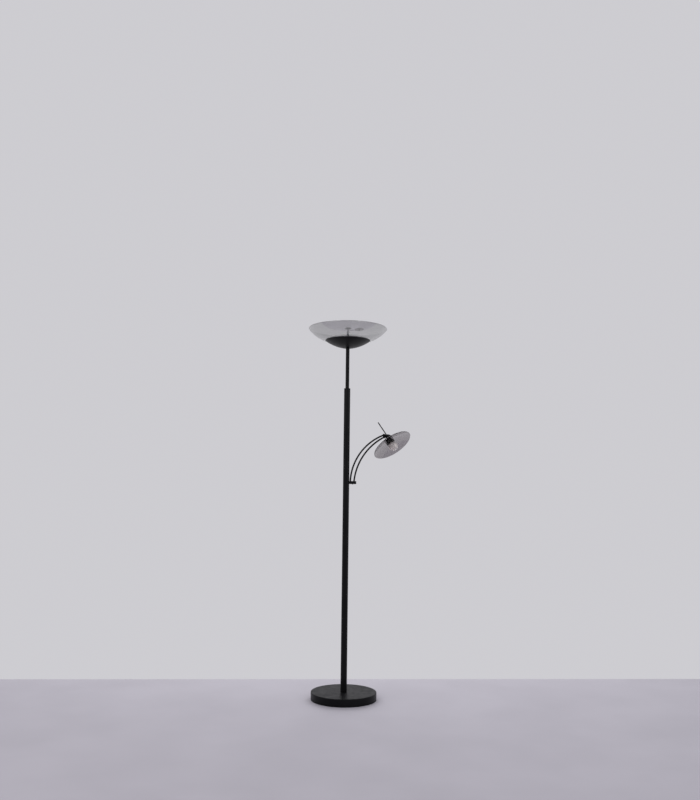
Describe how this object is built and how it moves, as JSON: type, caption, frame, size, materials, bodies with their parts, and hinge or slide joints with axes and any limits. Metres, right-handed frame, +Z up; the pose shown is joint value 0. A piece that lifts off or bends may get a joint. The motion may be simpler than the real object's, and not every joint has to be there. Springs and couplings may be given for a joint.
{
  "type": "floor lamp",
  "caption": "Torchiere floor lamp: glass uplight bowl on a slim pole with a round weighted base, and a side arm with an adjustable glass reading shade.",
  "frame": {"origin": "on the floor, under the pole's axis, at the centre of the base pad's underside", "axes": "+Z up along the pole; +X from the pole towards the reading arm; -Y is the front, the side that the picture shows"},
  "size_m": [0.4982, 0.384, 1.75],
  "materials": {
    "satin_black_steel": "satin powder coat",
    "zinc_steel": "bright zinc",
    "black_screw_steel": "black oxide",
    "cast_iron": "rough casting",
    "black_rubber": "matte",
    "grey_silicone": "soft matte",
    "smoked_glass": "smoked, semi-mirrored, polished",
    "clear_glass": "clear, polished",
    "plate_aluminium": "mill finish",
    "opal_plastic": "opal, diffusing",
    "white_ring": "matte white",
    "black_phenolic": "semi-matte",
    "white_driver_case": "matte",
    "board_white": "white solder mask",
    "led_phosphor": "gloss",
    "cable_sheath": "smooth PVC",
    "contact_brass": "bare brass",
    "nickel_cap": "nickelled",
    "filament_phosphor": "satin"
  },
  "bodies": {
    "stand": {"base_cover": "satin_black_steel", "base_weight": "cast_iron", "base_pad": "black_rubber", "cord_grommet": "black_rubber", "base_stud": "zinc_steel", "base_washer": "zinc_steel", "base_nut": "zinc_steel", "foot_bush": "zinc_steel", "lower_pole": "satin_black_steel", "middle_pole": "satin_black_steel", "upper_pole": "satin_black_steel", "lower_coupler": "zinc_steel", "upper_coupler": "zinc_steel", "pole_top_bush": "satin_black_steel", "stem_tube": "satin_black_steel", "stem_bush": "zinc_steel", "cup_stud": "zinc_steel", "cup_nut": "zinc_steel", "cup_washer": "zinc_steel", "cup_shell": "satin_black_steel", "cup_gasket": "grey_silicone", "glass_bowl": "smoked_glass", "bowl_gasket": "grey_silicone", "mounting_bridge": "zinc_steel", "heat_plate": "plate_aluminium", "plate_screws": "zinc_steel", "led_driver": "white_driver_case", "led_board": "board_white", "led_chips": "led_phosphor", "diffuser": "opal_plastic", "diffuser_ring": "white_ring", "wire_splice": "cable_sheath", "mains_cable": "cable_sheath", "uplight_lead": "cable_sheath", "reading_lead": "cable_sheath", "arm_spindle": "zinc_steel", "spindle_nut": "zinc_steel", "spindle_saddle": "satin_black_steel", "friction_washer": "black_phenolic"},
    "arm": {"arm_sleeve": "satin_black_steel", "sleeve_screw": "black_screw_steel", "outer_arm_tube": "satin_black_steel", "inner_arm_tube": "satin_black_steel", "arm_wire": "cable_sheath", "arm_end_block": "satin_black_steel", "swivel_pin": "zinc_steel"},
    "knuckle": {"knuckle_inner": "satin_black_steel"},
    "head": {"knuckle_outer": "satin_black_steel", "tilt_screw": "black_screw_steel", "tilt_nut": "black_screw_steel", "aiming_handle": "satin_black_steel", "lampholder_cap": "satin_black_steel", "lampholder_body": "black_phenolic", "lampholder_contact": "contact_brass", "reading_glass": "smoked_glass", "shade_ring": "black_phenolic", "bulb_cap": "nickel_cap", "bulb_glass": "clear_glass", "bulb_stem": "clear_glass", "bulb_filament": "filament_phosphor"}
  },
  "joints": [
    {"name": "arm_swing", "type": "hinge", "parent": "stand", "child": "arm", "pos_m": [0.033, 0, 0.9996], "axis": [1, 0, 0], "range_deg": [-90, 90]},
    {"name": "head_turn", "type": "hinge", "parent": "arm", "child": "knuckle", "pos_m": [0.1912, 0, 1.2246], "axis": [1, 0, 0], "range_deg": [-90, 110]},
    {"name": "head_tilt", "type": "hinge", "parent": "knuckle", "child": "head", "pos_m": [0.1912, 0, 1.2246], "axis": [0, 0.8957, -0.4446], "range_deg": [-18, 20]}
  ]
}
